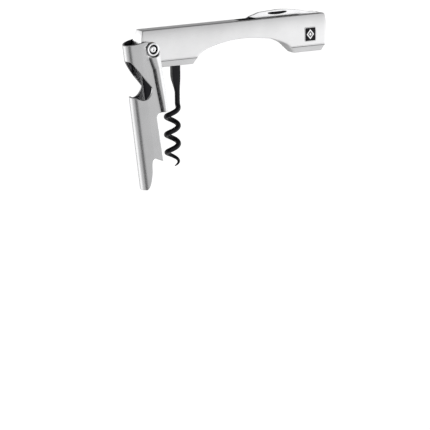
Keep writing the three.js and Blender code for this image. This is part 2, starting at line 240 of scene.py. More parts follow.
def spaced(low, high, step):
    count = max(1, round((high - low) / step))
    return [lerp(low, high, i / count) for i in range(count + 1)]


def lathe(profile, centre=(0, 0), sides=64):
    """Solid turned about the y axis through (x, z); the profile is (radius, y) pairs."""
    bm = bmesh.new()
    rings = []
    for radius, y in profile:
        if radius == 0:
            rings.append([bm.verts.new((centre[0], y, centre[1]))])
            continue
        ring = [bm.verts.new((x, y, z)) for x, z in circle(*centre, radius, sides)]
        rings.append(ring)
    if profile[0] == profile[-1] and profile[0][0] > 0:
        for vert in rings[-1]:
            bm.verts.remove(vert)
        rings[-1] = rings[0]
    for low, high in zip(rings, rings[1:]):
        for i in range(sides):
            j = (i + 1) % sides
            corners = [low[i % len(low)], low[j % len(low)], high[j % len(high)], high[i % len(high)]]
            corners = [v for k, v in enumerate(corners) if v not in corners[:k]]
            if len(corners) > 2:
                bm.faces.new(corners)
    bmesh.ops.recalc_face_normals(bm, faces=bm.faces[:])
    return bm


def bar_profile(radius, y0, y1, edge=0.15, bore=0.0):
    """Profile of a round bar or tube with softened rims."""
    outside = [(radius - edge, y0), (radius - 0.3 * edge, y0 + 0.3 * edge), (radius, y0 + edge)]
    mirrored = [(r, y0 + y1 - y) for r, y in outside[::-1]]
    if not bore:
        return [(0, y0)] + outside + mirrored + [(0, y1)]
    inside = [(bore, y1 - edge), (bore, y0 + edge), (bore + edge, y0)]
    return outside + mirrored + [(bore + edge, y1)] + inside + [outside[0]]


def loose_object(name, bm):
    mesh = bpy.data.meshes.new(name)
    bm.to_mesh(mesh)
    bm.free()
    thing = bpy.data.objects.new(name, mesh)
    bpy.context.scene.collection.objects.link(thing)
    return thing


def combined(bm, tool, operation):
    """The boolean of two solids, as a new mesh; both inputs are used up."""
    body = loose_object("body", bm)
    cutter = loose_object("cutter", tool)
    modifier = body.modifiers.new("boolean", "BOOLEAN")
    modifier.operation = operation
    modifier.solver = "EXACT"
    modifier.object = cutter
    graph = bpy.context.evaluated_depsgraph_get()
    mesh = bpy.data.meshes.new_from_object(body.evaluated_get(graph))
    result = bmesh.new()
    result.from_mesh(mesh)
    for thing in (body, cutter):
        data = thing.data
        bpy.data.objects.remove(thing)
        bpy.data.meshes.remove(data)
    bpy.data.meshes.remove(mesh)
    bmesh.ops.remove_doubles(result, verts=result.verts[:], dist=2e-4)
    bmesh.ops.dissolve_degenerate(result, edges=result.edges[:], dist=2e-4)
    return result


def pinholes_closed(bm):
    """Fills the small holes that a boolean can leave, found by edges with a single face."""
    rim = [edge for edge in bm.edges if len(edge.link_faces) == 1]
    bmesh.ops.holes_fill(bm, edges=rim, sides=12)
    return bm


def piece(name, bm, where, material, sharp=38.0):
    """A finished mesh in the frame, smooth but for edges sharper than that angle."""
    bm.transform(where)
    thing = loose_object(name, bm)
    for face in thing.data.polygons:
        face.use_smooth = True
    thing.data.set_sharp_from_angle(angle=math.radians(sharp))
    thing.data.materials.append(material)
    return thing


# ---------------------------------------------------------------- materials


# Near black, for painted shade on the steels.
SHADE_BLACK = (0.018, 0.018, 0.02)
ALONG_X = (0.02, 1.0, 1.0)
ALONG_Z = (1.0, 1.0, 0.02)
EVEN = (1.0, 1.0, 1.0)
CLOUD_SCALE = 90.0
SCRATCH_DEPTH = 0.00002


def shader(name, colour, metallic, roughness, specular=0.5):
    material = bpy.data.materials.new(name)
    material.use_nodes = True
    principled = material.node_tree.nodes["Principled BSDF"]
    principled.inputs["Base Color"].default_value = (*colour, 1.0)
    principled.inputs["Metallic"].default_value = metallic
    principled.inputs["Roughness"].default_value = roughness
    principled.inputs["Specular IOR Level"].default_value = specular
    return material, principled


def noise(material, scale, stretch=(1.0, 1.0, 1.0), detail=3.0):
    """Noise in the frame's own metres; a small stretch value draws it out along that axis."""
    nodes, links = material.node_tree.nodes, material.node_tree.links
    where = nodes.new("ShaderNodeTexCoord")
    mapping = nodes.new("ShaderNodeMapping")
    mapping.inputs["Scale"].default_value = stretch
    texture = nodes.new("ShaderNodeTexNoise")
    texture.inputs["Scale"].default_value = scale
    texture.inputs["Detail"].default_value = detail
    links.new(where.outputs["Object"], mapping.inputs["Vector"])
    links.new(mapping.outputs["Vector"], texture.inputs["Vector"])
    return texture.outputs["Fac"]


def ranged(material, value, low, high, start=0.3, stop=0.7):
    """The value, stretched from start and stop to low and high."""
    node = material.node_tree.nodes.new("ShaderNodeMapRange")
    node.inputs["From Min"].default_value = start
    node.inputs["From Max"].default_value = stop
    node.inputs["To Min"].default_value = low
    node.inputs["To Max"].default_value = high
    material.node_tree.links.new(value, node.inputs["Value"])
    return node.outputs["Result"]


def tinted(material, value, dark, light):
    """A colour between two, by value."""
    node = material.node_tree.nodes.new("ShaderNodeMix")
    node.data_type = "RGBA"
    node.inputs["A"].default_value = (*dark, 1.0)
    node.inputs["B"].default_value = (*light, 1.0)
    material.node_tree.links.new(value, node.inputs["Factor"])
    return node.outputs["Result"]


def mesh_value(material, name):
    """A value that the mesh carries at its points."""
    node = material.node_tree.nodes.new("ShaderNodeAttribute")
    node.attribute_name = name
    return node.outputs["Fac"]


def bumped(material, principled, height, strength, distance):
    bump = material.node_tree.nodes.new("ShaderNodeBump")
    bump.inputs["Strength"].default_value = strength
    bump.inputs["Distance"].default_value = distance
    material.node_tree.links.new(height, bump.inputs["Height"])
    material.node_tree.links.new(bump.outputs["Normal"], principled.inputs["Normal"])


def steel(name, colour, roughness, stretch, grain=9000.0, bump=0.12):
    """Brushed steel: fine scratches drawn out along one axis, and faint broad clouds. Where the
    mesh says "dark", from 0 to 1, painted shade darkens it towards near black."""
    material, principled = shader(name, colour, 1.0, roughness)
    links = material.node_tree.links
    scratches = noise(material, grain, stretch, detail=4.0)
    clouds = noise(material, CLOUD_SCALE, detail=2.0)
    dark = tuple(0.955 * c for c in colour)
    light = tuple(min(1.0, 1.02 * c) for c in colour)
    bare = tinted(material, ranged(material, clouds, 0.0, 1.0), dark, light)
    # painted shade: the mesh's "dark" value mixes the steel's colour towards near black
    with_painted_shade = tinted(material, mesh_value(material, "dark"), dark, SHADE_BLACK)
    links.new(bare, with_painted_shade.node.inputs["A"])
    links.new(with_painted_shade, principled.inputs["Base Color"])
    low, high = roughness - 0.05, roughness + 0.06
    links.new(ranged(material, scratches, low, high), principled.inputs["Roughness"])
    bumped(material, principled, scratches, bump, SCRATCH_DEPTH)
    return material


handle_steel = steel("handle_steel", (0.70, 0.70, 0.705), 0.32, ALONG_X)
lever_steel = steel("lever_steel", (0.46, 0.46, 0.465), 0.27, ALONG_Z)
# The channel's lining: a lighter, smoother copy of the lever's steel, a painted highlight where its
# painted shade is left off.
lever_lining_lit = steel("lever_lining_lit", (0.55, 0.55, 0.56), 0.22, ALONG_Z)
pin_steel = steel("pin_steel", (0.78, 0.78, 0.79), 0.24, EVEN, grain=5000.0, bump=0.05)
spring_steel = steel("spring_steel", (0.55, 0.56, 0.58), 0.34, ALONG_X)
blade_steel = steel("blade_steel", (0.78, 0.78, 0.79), 0.24, ALONG_Z, bump=0.08)
bronze = steel("bearing_bronze", (0.66, 0.43, 0.20), 0.30, EVEN, grain=6000.0)


def black_coating():
    material, principled = shader("black_coating", (0.007, 0.007, 0.009), 0.0, 0.38, specular=0.14)
    grain = noise(material, 2600.0, detail=4.0)
    roughness = ranged(material, grain, 0.30, 0.46)
    material.node_tree.links.new(roughness, principled.inputs["Roughness"])
    bumped(material, principled, grain, 0.35, 0.00004)
    return material


def enamel(name, colour):
    material, principled = shader(name, colour, 0.0, 0.3, specular=0.12)
    clouds = noise(material, 900.0, detail=2.0)
    material.node_tree.links.new(ranged(material, clouds, 0.24, 0.36), principled.inputs["Roughness"])
    bumped(material, principled, clouds, 0.1, SCRATCH_DEPTH)
    return material


coating = black_coating()
dark_enamel = enamel("badge_enamel", (0.004, 0.004, 0.005))


# ---------------------------------------------------------------- handle

TOP = 10.0
FRONT_BOTTOM = -11.0
REAR_BOTTOM = -10.8
HANDLE_HALF = 5.2
TOP_HALF = 3.6
BOTTOM_HALF = 3.0
WIDEST_Z = -1.0
FACET_Z = -7.5           # top of the lower facets
FACET_HALF = 5.0         # half the width there
LEDGE_HALF = 5.05        # and just above, past the groove
GROOVE_RISE = 0.45       # from the groove's edge to its middle
FINE_GROOVE = 0.25       # its depth
BUSH_BORE = 2.4
SPOT_FACE = (3.75, 4.75)
BLIND_Y = -3.9
BAY = (56.0, 94.3)       # opening round the folded blade, from and to
BAY_HALF = 2.8
BAY_FLOOR = 5.6
BAY_SHADE = 0.85         # how much painted shade its walls carry
WORM_SLOT_HALF = 1.8
BLADE_SLOT_HALF = 1.1
ABOVE = 13.0             # clear of the handle's top, for cutters
BELOW_HANDLE = -12.0     # clear of its underside

WORM_AT = (17.4, -7.0)
WORM_SPRING_EYE = (27.0, -2.3)
BLADE_AT = (104.6, 5.2)
BLADE_SPRING_EYE = (88.0, -0.7)
BADGE_AT = (99.5, -0.95)
BADGE_SIZE = (7.0, 7.6)
BADGE_CORNER = 0.7
BADGE_GAP = 0.12         # between the badge and its recess
BADGE_RECESS_Y = -5.55   # middle of the recess's cutter
BADGE_PLATE_Y = -4.87
BADGE_MARK_Y = -5.19


def handle_outline():
    return outline([
        (-4.3, TOP, 0.5), (-5.3, 7.0), (-6.0, 3.6), (-6.3, -1.0), (-5.3, -6.0), (-2.6, -9.8),
        (1.8, FRONT_BOTTOM, 0.3), (27.1, FRONT_BOTTOM, 0.6),
        (28.3, -8.3), (30.5, -5.8), (34.6, -3.4), (40.0, -1.8), (45.0, -0.75), (50.0, 0.0), (55.0, 0.35),
        (60.0, 0.4), (64.6, 0.1), (69.0, -0.45), (74.4, -1.2), (79.4, -2.8), (84.0, -4.8), (86.4, -6.6),
        (88.3, -8.6), (90.2, REAR_BOTTOM, 0.5), (108.0, REAR_BOTTOM, 0.6),
        (108.6, -8.6), (109.6, -6.2), (110.4, -3.0), (110.7, 0.3), (110.6, 4.3), (110.2, 6.8),
        (109.7, TOP, 1.8),
    ])


def handle_half(z):
    """Half the width at height z: barrelled, with a fine groove over the lower facets."""
    if z >= WIDEST_Z:
        return HANDLE_HALF - (HANDLE_HALF - TOP_HALF) * ((z - WIDEST_Z) / (TOP - WIDEST_Z)) ** 2
    if z >= FACET_Z:
        groove = max(0.0, 1.0 - ((z - FACET_Z - GROOVE_RISE) / GROOVE_RISE) ** 2)
        rise = (z - FACET_Z) / (WIDEST_Z - FACET_Z)
        return lerp(LEDGE_HALF, HANDLE_HALF, rise) - FINE_GROOVE * groove
    return lerp(FACET_HALF, BOTTOM_HALF, (FACET_Z - z) / (FACET_Z - FRONT_BOTTOM))


def badge_outline(grow):
    x, z = BADGE_AT
    w, h = (0.5 * size + grow for size in BADGE_SIZE)
    r = BADGE_CORNER
    return outline([(x - w, z - h, r), (x + w, z - h, r), (x + w, z + h, r), (x - w, z + h, r)])


def slot_cutter(points, half):
    return stand_up(plate(outline([(x, z, 0.3) for x, z in points]), half=half, edge=0.01, steps=1))


def handle_cutters():
    """What is cut out of the handle: slots, bay, badge recess, bearing seat and pin bores."""
    worm_x = WORM_AT[0]
    cutters = [
        slot_cutter([
            (worm_x - 17.5, BELOW_HANDLE), (worm_x - 2.6, -3.8), (10.5, -3.8), (10.5, -0.6),
            (28.9, -0.6), (28.9, -3.6), (38, -3.6), (38, BELOW_HANDLE),
        ], WORM_SLOT_HALF),
        slot_cutter([
            (BAY[0], ABOVE), (BAY[0], 9.2), (58.5, 5.8), (64.5, 3.4), (86.1, 2.8),
            (86.1, -2.45), (113, -2.45), (113, ABOVE),
        ], BLADE_SLOT_HALF),
        slot_cutter([
            (BAY[0], ABOVE), (BAY[0], 9.2), (58.5, 6.6), (64.5, BAY_FLOOR), (BAY[1], BAY_FLOOR),
            (BAY[1], ABOVE),
        ], BAY_HALF),
        stand_up_at(plate(badge_outline(BADGE_GAP), half=1.0, edge=0.01, steps=1), BADGE_RECESS_Y),
        lathe(bar_profile(BUSH_BORE, -7, 7)),
    ]
    for side in (-1, 1):
        y0, y1 = sorted((side * SPOT_FACE[1], side * 7))
        cutters.append(lathe(bar_profile(SPOT_FACE[0], y0, y1, edge=0.02)))
    for centre, radius in PIN_BORES:
        cutters.append(lathe(bar_profile(radius, BLIND_Y, 7), centre, sides=40))
    return cutters


def handle_body():
    bm = stand_up(plate(handle_outline(), half=HANDLE_HALF, edge=0.42, steps=4))
    sliced(bm, 2, spaced(FRONT_BOTTOM + 0.45, FACET_Z, 0.5))
    sliced(bm, 2, spaced(FACET_Z, FACET_Z + 2 * GROOVE_RISE, 0.15)[1:])
    sliced(bm, 2, spaced(FACET_Z + 1.2, TOP - 0.5, 0.6))
    sliced(bm, 0, spaced(-4.0, 108.0, 2.5))
    for vert in bm.verts:
        vert.co.y *= handle_half(vert.co.z) / HANDLE_HALF
    for cutter in handle_cutters():
        bm = combined(bm, cutter, "DIFFERENCE")
    # painted shade inside the bay round the folded blade, where the opening lies in shadow
    dark = bm.verts.layers.float.new("dark")
    for vert in bm.verts:
        x, y, z = vert.co
        in_bay = BAY[0] - 0.1 < x < BAY[1] + 0.1 and abs(y) < BAY_HALF + 0.1 and z > BAY_FLOOR - 0.1
        vert[dark] = BAY_SHADE if in_bay else 0.0
    return piece("handle_shell", bm, HANDLE, handle_steel)


def stand_up_at(bm, y):
    bm = stand_up(bm)
    bm.transform(Matrix.Translation((0, y, 0)))
    return bm


PIVOT_PIN = 1.35
SMALL_PIN = 0.8
PIN_GAP = 0.05
PIN_BORES = [
    (WORM_AT, PIVOT_PIN + PIN_GAP), (WORM_SPRING_EYE, SMALL_PIN + PIN_GAP),
    (BLADE_AT, PIVOT_PIN + PIN_GAP), (BLADE_SPRING_EYE, SMALL_PIN + PIN_GAP),
]

handle = handle_body()
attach(handle, "handle")
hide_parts("handle_body")


# Small pins, ground off a little below the rear side

for node, centre, radius in (
    ("worm_pivot_pin", WORM_AT, PIVOT_PIN),
    ("worm_spring_pin", WORM_SPRING_EYE, SMALL_PIN),
    ("blade_pivot_pin", BLADE_AT, PIVOT_PIN),
    ("blade_spring_pin", BLADE_SPRING_EYE, SMALL_PIN),
):
    end = handle_half(centre[1]) - 0.04
    turned = lathe(bar_profile(radius, BLIND_Y + 0.1, end, edge=0.08), centre, sides=48)
    pin = piece(node + "_turned", turned, HANDLE, pin_steel)
    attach(pin, "handle")
    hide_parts(node)


# Badge: a dark plate with a raised light lozenge and rim, of no maker


def lozenge(half_width, half_height):
    x, z = BADGE_AT
    return outline([
        (x, z - half_height, 0.2), (x + half_width, z, 0.2),
        (x, z + half_height, 0.2), (x - half_width, z, 0.2),
    ])


def mark(outer, holes=()):
    """A thin raised mark on the badge."""
    return stand_up_at(plate(outer, holes, half=0.06, edge=0.02, steps=1), BADGE_MARK_Y)


def badge():
    base = stand_up_at(plate(badge_outline(0.0), half=0.3, edge=0.08), BADGE_PLATE_Y)
    plate_piece = piece("badge", base, HANDLE, dark_enamel)
    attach(plate_piece, "handle")
    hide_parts("badge_plate")
    marks = (
        ("badge_rim", mark(badge_outline(-0.02), [badge_outline(-0.22)])),
        ("badge_lozenge", mark(lozenge(2.3, 2.8), [lozenge(1.5, 1.85)])),
        ("badge_centre", mark(lozenge(0.8, 1.0))),
    )
    for name, bm in marks:
        inlay = piece(name, bm, HANDLE, pin_steel)
        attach(inlay, "handle")


badge()


# ---------------------------------------------------------------- lever

WEB = 13.7               # outer face of the web in front of the pivot
WEB_EDGE = 13.69         # ends of the outline there, just short of the middle
SHEET = 1.25
FLANGE = 6.8             # outer face of the flanges
BEND = 7.0               # how far back the bends reach from the web
STEP_V = 35.3            # the first step, below the pivot
LEVER_TOP = -5.0
WEB_TOP = -3.9
LEVER_BOTTOM = 76.2
RIB_HEIGHT = 1.25
GROOVE_DEPTH = 0.45
GROOVE_HALF = 0.95
BOSS_R = 3.65
BOSS_TOP = 7.5
RIVET_TOP = 7.4
RIVET_R = 1.75
RECESS_R = 2.6
RECESS_Y = 6.35
REAR_EDGE = [(-4.1, 3.0), (-4.2, 10.0), (-4.55, 17.7), (-4.75, 26.0), (-4.7, STEP_V)]
RIB_FOOT = [(2.2, 4.5), (0.7, 10.6), (0.0, 20.4), (-0.7, 28.3), (-1.3, STEP_V)]

QUARTER = 0.25 * math.pi * (1.5 * (BEND + FLANGE) - math.sqrt(BEND * FLANGE))


def unrolled(u):
    """Distance along the flattened sheet from the middle of the web to a point u in front of the pivot."""
    if u <= WEB - BEND:
        return QUARTER + WEB - BEND - u
    return QUARTER * math.acos(min(1.0, (u - WEB + BEND) / BEND)) / (0.5 * math.pi)


def bent(point):
    """Rolls the flattened sheet up into the half-oval channel. The sheet's z is outwards."""
    s, w, out = point
    side = -1.0 if s > 0 else 1.0
    depth = 0.5 * SHEET - out
    run = abs(s)
    if run <= QUARTER:
        turn = 0.5 * math.pi * run / QUARTER
        x = BEND - WEB - (BEND - depth) * math.cos(turn)
        y = side * (FLANGE - depth) * math.sin(turn)
    else:
        u = WEB - BEND - (run - QUARTER)
        x = -u
        y = side * (FLANGE - depth + rib(u, -w) * (1.0 - depth / SHEET))
    return Vector((x, y, w))


def along(points, v):
    """u on a line of (u, v) points at that v."""
    for (u0, v0), (u1, v1) in zip(points, points[1:]):
        if v <= v1:
            return lerp(u0, u1, max(0.0, (v - v0) / (v1 - v0)))
    return points[-1][0]


def rib(u, v):
    """Height of a flange's surface: a rounded rib along its rear edge, and grooves at the rib's
    foot and round the boss."""
    edge = along(REAR_EDGE, v) - 0.3
    foot = along(RIB_FOOT, v)
    fade = smoothstep(BOSS_R - 1.0, BOSS_R + 1.0, v) * (1 - smoothstep(STEP_V - 0.2, STEP_V + 1.0, v))
    ring = 0.3 * max(0.0, 1.0 - ((math.hypot(u, v) - BOSS_R - 0.2) / 0.5) ** 2)
    groove = max(ring, fade * groove_at(u, v))
    if not edge < u < foot:
        return -groove
    return fade * RIB_HEIGHT * math.sin(math.pi * ((u - edge) / (foot - edge)) ** 1.4) ** 0.8 - groove


def groove_at(u, v):
    """Depth of the groove along the rib's foot."""
    return GROOVE_DEPTH * max(0.0, 1.0 - ((u - along(RIB_FOOT, v)) / GROOVE_HALF) ** 2)


def mirrored_loop(half):
    """Closed loop across the web from its front half, given as (u, v) or (u, v, r)."""
    front = [(unrolled(p[0]), -p[1], *p[2:]) for p in half]
    rear = [(-p[0], *p[1:]) for p in front[::-1]]
    return front + rear


def lever_outline():
    turns = [math.radians(degrees) for degrees in range(0, 91, 15)]
    boss = [(-BOSS_R * math.sin(turn), -BOSS_R * math.cos(turn)) for turn in turns]
    half = [(WEB_EDGE, WEB_TOP, 0.2), (9.0, -4.5), (3.6, LEVER_TOP, 0.8)] + boss + REAR_EDGE[:-1] + [
        (*REAR_EDGE[-1], 0.3), (1.0, STEP_V, 0.6), (2.5, 36.8, 0.9), (1.8, 61.8, 0.7), (6.9, 59.0, 1.2),
        (8.0, 60.4), (8.5, 62.4), (9.0, 67.1), (10.1, 71.7), (11.1, 74.4), (12.2, LEVER_BOTTOM, 0.7),
        (WEB_EDGE, LEVER_BOTTOM, 0.2),
    ]
    return outline(mirrored_loop(half))


def opener_outline():
    half = [
        (WEB_EDGE, 5.0, 0.3), (12.9, 5.1), (11.9, 6.6), (9.5, 10.7), (6.5, 15.6), (4.3, 19.0), (3.2, 21.0),
        (3.8, 23.2), (5.1, 25.0), (6.9, 26.2), (9.2, 26.4), (11.1, 25.7), (12.5, 24.9),
        (WEB_EDGE, 24.7, 0.3),
    ]
    return outline(mirrored_loop(half))


def boss_ring(side):
    """The round boss on a flange, with its recess for the rivet's head."""
    inner = FLANGE - 0.5
    profile = [
        (RIVET_R, inner), (BOSS_R, inner), (BOSS_R, BOSS_TOP - 0.35), (BOSS_R - 0.12, BOSS_TOP - 0.1),
        (BOSS_R - 0.4, BOSS_TOP), (RECESS_R + 0.3, BOSS_TOP), (RECESS_R + 0.06, BOSS_TOP - 0.1),
        (RECESS_R, BOSS_TOP - 0.35), (RECESS_R, RECESS_Y), (RIVET_R, RECESS_Y),
        (RIVET_R, inner),
    ]
    return lathe([(r, side * y) for r, y in profile])


def lever_arm():
    bm = plate(lever_outline(), [opener_outline()], half=0.5 * SHEET, edge=0.28, steps=3)
    edges = [unrolled(u) for u in spaced(-4.6, 3.4, 0.25)] + [unrolled(5.0)]
    edges += spaced(0.5, QUARTER, 0.5)
    sliced(bm, 0, [0.0] + edges + [-edge for edge in edges])
    sliced(bm, 1, [-v for v in spaced(LEVER_TOP + 0.5, 6.0, 0.4) + spaced(7.5, LEVER_BOTTOM - 0.5, 1.5)])
    for vert in bm.verts:
        vert.co = bent(vert.co)
    bm.normal_update()
    recess = bar_profile(RECESS_R + 0.5, -9, 9, edge=0.02)
    bm = combined(bm, lathe(recess), "DIFFERENCE")
    for side in (-1, 1):
        bm = combined(bm, boss_ring(side), "UNION")
    bm = pinholes_closed(bm)
    # painted shade on the lever, kept in its "dark" value
    dark = bm.verts.layers.float.new("dark")
    for vert in bm.verts:
        vert[dark] = painted_shade(vert.co)
    for face in bm.faces:
        face.material_index = finish_of(face)
    cast = piece("lever_arm_cast", bm, LEVER, lever_steel)
    cast.data.materials.append(lever_lining_lit)
    cast.data.materials.append(pin_steel)
    return cast


def is_inside(spot):
    """Whether a place on the lever lies on the channel's inner surface."""
    return math.hypot(min(0.0, spot.x - BEND + WEB) / BEND, spot.y / FLANGE) < 1.0 - 0.7 * SHEET / FLANGE


def painted_shade(spot):
    """How much painted shade the lever carries: in the channel, in the grooves and in the rivet's recess.
    """
    u, v = -spot.x, -spot.z
    # painted shade in the rivet's recess
    if math.hypot(u, v) < RECESS_R + 0.03 and abs(spot.y) < BOSS_TOP - 0.3:
        return 1.0
    # painted shade inside the channel, left off a patch where the lighter lining shows as a painted
    # highlight
    if is_inside(spot):
        polished = smoothstep(1.9, 2.2, u) * (1.0 - smoothstep(6.2, 7.0, u)) * smoothstep(8.0, 11.0, v)
        return 1.0 - polished
    # painted shade in the groove round the boss and along the rib's foot
    ring = 1.0 - smoothstep(0.15, 0.45, abs(math.hypot(u, v) - BOSS_R - 0.2))
    across = u - along(RIB_FOOT, v)
    shade = (1.0 - smoothstep(0.0, 2.0, across) if across > 0 else 1.0 - smoothstep(0.2, 0.8, -across))
    shade *= smoothstep(3.6, 5.0, v)
    return max(0.6 * ring, 0.85 * shade * (1.0 - smoothstep(STEP_V - 0.5, STEP_V + 0.5, v)))


def finish_of(face):
    """Material of a face: 0 brushed, 1 the channel's lining, a lighter copy of the steel for a painted
    highlight, 2 the polished boss.
    """
    spot = face.calc_center_median()
    if is_inside(spot):
        return 1
    return 2 if math.hypot(spot.x, spot.z) < BOSS_R + 0.02 and abs(spot.y) > BOSS_TOP - 0.4 else 0


lever = lever_arm()
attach(lever, "lever")
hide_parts("lever_arm")


def lever_pin():
    """Riveted pin: low round heads with a dimple, joined by the shaft."""
    top = RIVET_TOP
    head = [
        (0.0, top - 0.4), (0.4, top - 0.32), (0.6, top - 0.1), (0.8, top), (1.25, top),
        (1.55, top - 0.1), (RIVET_R, top - 0.35), (RIVET_R, RECESS_Y + 0.1), (1.5, RECESS_Y + 0.08),
    ]
    other = [(r, -y) for r, y in head[::-1]]
    return piece("lever_pivot_rivet", lathe(head + other), LEVER, pin_steel)


rivet = lever_pin()
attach(rivet, "lever")
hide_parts("lever_pivot_pin")

BEARING_BORE = 1.7

for node, outer, y0, y1 in (
    ("lever_pivot_bush", 2.25, -4.75, 4.75),
    ("lever_washer_front", 3.6, -5.3, -4.9),
    ("lever_washer_rear", 3.6, 4.9, 5.3),
):
    turned = lathe(bar_profile(outer, y0, y1, edge=0.08, bore=BEARING_BORE), sides=64)
    bearing = piece(node + "_turned", turned, HANDLE, bronze)
    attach(bearing, "handle")
    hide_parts(node)


# ---------------------------------------------------------------- worm

SHANK_HALF = 2.45
SHANK_THICK = 1.45
SHANK_PARALLEL = 9.0
SHANK_END = 20.0
WIRE_R = 1.4
WIRE_X = 1.1             # where the straight wire runs
HELIX_X = -2.2           # the helix's axis
HELIX_R = 3.25
HELIX_START = 24.9
HELIX_ONSET = 3.0
HELIX_PITCH = 9.8
WORM_LENGTH = 58.5
POINT = 9.0              # length of the tapered point
WORM_BORE = 1.5


def worm_centre(depth):
    """Centre line at that distance below the pivot."""
    if depth <= HELIX_START:
        return Vector((WIRE_X * smoothstep(SHANK_PARALLEL, SHANK_END, depth), 0, -depth))
    below = depth - HELIX_START
    turned = below ** 2 / (2 * HELIX_ONSET) if below < HELIX_ONSET else below - HELIX_ONSET / 2
    angle = 2 * math.pi * turned / HELIX_PITCH
    radius = lerp(WIRE_X - HELIX_X, HELIX_R, min(1.0, below / HELIX_ONSET))
    return Vector((HELIX_X + radius * math.cos(angle), -radius * math.sin(angle), -depth))


def worm_section(depth):
    """Half width, half thickness and corner radius of the section there."""
    round_off = smoothstep(SHANK_PARALLEL, SHANK_END, depth)
    width = lerp(SHANK_HALF, WIRE_R, round_off)
    if depth < 0:
        width = math.sqrt(max(0.0, SHANK_HALF ** 2 - depth ** 2))
    thick = lerp(SHANK_THICK, WIRE_R, round_off)
    corner = lerp(0.25, WIRE_R - 0.02, round_off)
    left = WORM_LENGTH - depth
    if left < POINT:
        width = thick = WIRE_R * (0.1 + 0.9 * math.sqrt(left / POINT))
        corner = width - 0.02
    return max(0.4, width), thick, corner


def section_points(width, thick, corner, steps=8):
    """Rounded rectangle, the corners as quarter circles."""
    points = []
    for quarter in range(4):
        x = (width - corner) * (1 if quarter in (0, 3) else -1)
        y = (thick - corner) * (1 if quarter < 2 else -1)
        for step in range(steps):
            turn = math.pi / 2 * (quarter + step / (steps - 1))
            points.append((x + corner * math.cos(turn), y + corner * math.sin(turn)))
    return points


def worm_body():
    depths = [-SHANK_HALF * math.cos(math.pi / 2 * k / 8) for k in range(9)]
    depths += spaced(0.8, HELIX_START - 0.5, 0.8) + spaced(HELIX_START, WORM_LENGTH, 0.28)
    bm = bmesh.new()
    rings = []
    across = Vector((1, 0, 0))
    for depth in depths:
        centre = worm_centre(depth)
        ahead = worm_centre(min(WORM_LENGTH, depth + 0.05)) - worm_centre(depth - 0.05)
        if depth < HELIX_START:
            ahead = Vector((0, 0, -1))
        ahead.normalize()
        across = (across - ahead * across.dot(ahead)).normalized()
        normal = ahead.cross(across)
        points = section_points(*worm_section(depth))
        rings.append([bm.verts.new(centre + across * a + normal * b) for a, b in points])
    join_rings(bm, rings)
    bm.faces.new(rings[0][::-1])
    bm.faces.new(rings[-1])
    bmesh.ops.recalc_face_normals(bm, faces=bm.faces[:])
    bm = combined(bm, lathe(bar_profile(WORM_BORE, -4, 4), sides=48), "DIFFERENCE")
    return piece("worm_wire", bm, WORM, coating, sharp=50.0)


worm = worm_body()
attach(worm, "worm")
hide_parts("worm")


# ---------------------------------------------------------------- foil blade

BLADE_HALF = 0.8
TANG_R = 5.3
TEETH = 28
TOOTHED = (-11.8, -41.4)
HIDDEN_Z = 4.75  # the handle's top edge, when the blade is folded


def edge_height(x):
    """Height of the cutting edge."""
    return -0.65 + 5.5 * max(0.0, (-15.35 - x) / 26.05) ** 2.2


def blade_outline():
    """Closed blade round its pivot; the cutting edge, with fine teeth, lies below."""
    turns = [math.radians(degrees) for degrees in range(20, 216, 15)]
    tang = [(TANG_R * math.sin(turn), TANG_R * math.cos(turn)) for turn in turns]
    teeth = []
    for i in range(TEETH + 1):
        x = lerp(*TOOTHED, i / TEETH)
        z = edge_height(x)
        teeth.append((x, z, 0.05))
        if i < TEETH:
            teeth.append((x - 0.5, z + 0.32, 0.1))
    return outline([
        (-43.0, 5.4, 0.1), (-40.2, 6.4), (-37.9, 7.0), (-35.1, 7.8), (-31.7, 8.1), (-27.6, 8.3),
        (-24.1, 8.5), (-19.9, 8.4), (-15.6, 8.0), (-10.2, 7.2), (-6.4, 6.45), (-3.2, 5.7, 0.4),
        (-1.6, 5.7, 0.3), (0.4, 5.5, 0.4), *tang[:-1],
        (*tang[-1], 0.3), (-6.8, 0.2, 0.4), (-9.6, 0.7, 0.3), (-10.7, -0.7, 0.2), *teeth,
    ][::-1])


def in_nick(x, z):
    """From 0 at the nail nick's rim to 1 at its middle."""
    far = (x + 23.5) / 6.3
    if abs(far) >= 1.0:
        return 0.0
    across = (z - 6.75 - 0.3 * far ** 2) / (0.75 * math.sqrt(1.0 - far ** 2))
    return math.sqrt(max(0.0, 1.0 - across ** 2)) * (1.0 - far ** 4)


def ground(point):
    """Thins the blade towards its cutting edge, and carves the nail nick into the front side."""
    x, y, z = point
    grind = smoothstep(-10.2, -13.0, x) * (1.0 - smoothstep(0.2, 1.6, z - edge_height(x)))
    y *= lerp(1.0, 0.4, grind)
    if y < 0:
        y += 0.5 * in_nick(x, z)
    return Vector((x, y, z))


